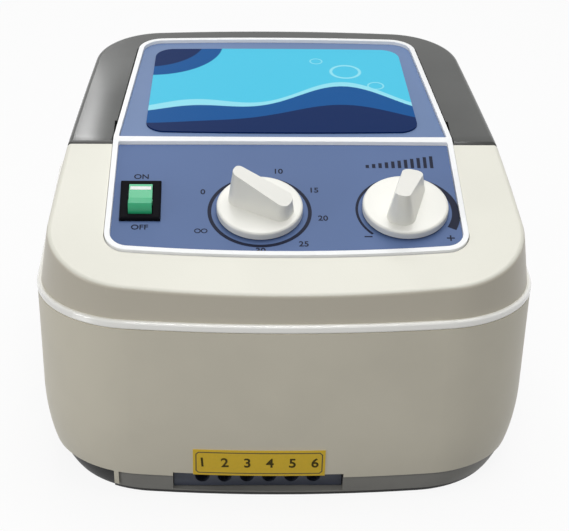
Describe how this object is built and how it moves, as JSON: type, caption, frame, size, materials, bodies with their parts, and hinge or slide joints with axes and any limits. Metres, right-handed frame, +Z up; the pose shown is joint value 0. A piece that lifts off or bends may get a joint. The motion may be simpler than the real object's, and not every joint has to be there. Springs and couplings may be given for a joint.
{
  "type": "compression therapy pump",
  "caption": "Table-top air compression pump with a sloping control panel, two pointer knobs, a lit rocker switch, a fold-up handle and a row of air outlets.",
  "frame": {"origin": "on the table under the middle of the box", "axes": "+Z up, the control panel and air outlets face -Y, the power switch is on the -X side"},
  "size_m": [0.1886, 0.192, 0.1274],
  "materials": {
    "cream_case": "fine satin",
    "dark_base": "fine texture",
    "grey_handle": "glossy",
    "white_frame": "glossy",
    "blue_overlay": "satin film",
    "display_print": "gloss film",
    "ivory_knob": "satin",
    "steel": "turned",
    "zinc": "plated",
    "brass_parts": "turned",
    "black_plastic": "fine texture",
    "green_lens": "translucent, lit",
    "port_block": "satin",
    "clear_tube": "silicone",
    "white_plastic": "satin",
    "black_rubber": "matt",
    "copper_coil": "taped winding",
    "core_steel": "laminated",
    "yellow_label": "printed film",
    "lead_brown": "insulated",
    "glass_tube": "clear",
    "felt": "felt"
  },
  "bodies": {
    "housing": {"lower_housing": "cream_case", "upper_cover": "cream_case", "base_plate": "dark_base", "handle_pins": "steel", "panel_frame": "white_frame", "control_overlay": "blue_overlay", "display_overlay": "blue_overlay", "display_plate": "display_print", "timer_body": "zinc", "timer_nut": "brass_parts", "regulator_nut": "brass_parts", "regulator_body": "white_plastic", "regulator_spring": "steel", "switch_housing": "black_plastic", "switch_terminals": "brass_parts", "outlet_block": "port_block", "outlet_nipples": "port_block", "port_tubes": "clear_tube", "distributor_manifold": "white_plastic", "distributor_lid": "white_plastic", "distributor_motor": "zinc", "motor_screws": "zinc", "pump_isolators": "black_rubber", "pump_chassis": "zinc", "pump_cores": "core_steel", "pump_coils": "copper_coil", "pump_diaphragms": "black_rubber", "pump_heads": "black_plastic", "pump_screws": "zinc", "intake_filter": "felt", "three_way_fitting": "white_plastic", "pump_tubes": "clear_tube", "supply_tube": "clear_tube", "regulator_tube": "clear_tube", "mains_inlet": "black_plastic", "inlet_blades": "brass_parts", "fuse_holder": "black_plastic", "fuse": "glass_tube", "terminal_block": "white_plastic", "inlet_leads": "lead_brown", "switch_leads": "lead_brown", "motor_leads": "lead_brown", "case_screws": "zinc", "rubber_feet": "black_rubber", "strip_label": "yellow_label"},
    "carry_handle": {"carry_handle": "grey_handle"},
    "timer_knob": {"timer_knob": "ivory_knob", "timer_shaft": "steel"},
    "pressure_knob": {"pressure_knob": "ivory_knob", "regulator_spindle": "steel"},
    "regulator_plunger": {"regulator_plunger": "brass_parts"},
    "power_rocker": {"switch_rocker": "green_lens"},
    "distributor_rotor": {"distributor_rotor": "black_plastic", "motor_shaft": "steel"},
    "pump_armature": {"pump_armature": "zinc"}
  },
  "joints": [
    {"name": "handle_fold", "type": "hinge", "parent": "housing", "child": "carry_handle", "pos_m": [0, -0.0049, 0.11113], "axis": [1, 0, 0], "range_deg": [0, 90]},
    {"name": "timer_turn", "type": "hinge", "parent": "housing", "child": "timer_knob", "pos_m": [-0.0099, -0.05156, 0.10395], "axis": [0, -0.3156, 0.9489], "range_deg": [-62, 234]},
    {"name": "pressure_turn", "type": "hinge", "parent": "housing", "child": "pressure_knob", "pos_m": [0.0449, -0.05099, 0.10414], "axis": [0, -0.3156, 0.9489], "range_deg": [-109.5, 151.5]},
    {"name": "plunger_slide", "type": "slide", "parent": "housing", "child": "regulator_plunger", "axis": [0, -0.3156, 0.9489], "range_m": [-0.00122, 0.00168], "deforming": ["regulator_spring"]},
    {"name": "switch_rock", "type": "hinge", "parent": "housing", "child": "power_rocker", "pos_m": [-0.0547, -0.04628, 0.10487], "axis": [1, 0, 0], "range_deg": [0, 24]},
    {"name": "rotor_turn", "type": "hinge", "parent": "housing", "child": "distributor_rotor", "pos_m": [-0.0102, -0.025, 0.0515], "axis": [0, 0, 1], "continuous": true},
    {"name": "armature_slide", "type": "slide", "parent": "housing", "child": "pump_armature", "axis": [1, 0, 0], "range_m": [-0.001, 0.001], "stiffness_N_per_m": 2000, "deforming": ["pump_diaphragms"]}
  ],
  "couplings": [
    {"joint": "pressure_turn", "follows": "plunger_slide", "rad_per_m": 1570.8}
  ]
}
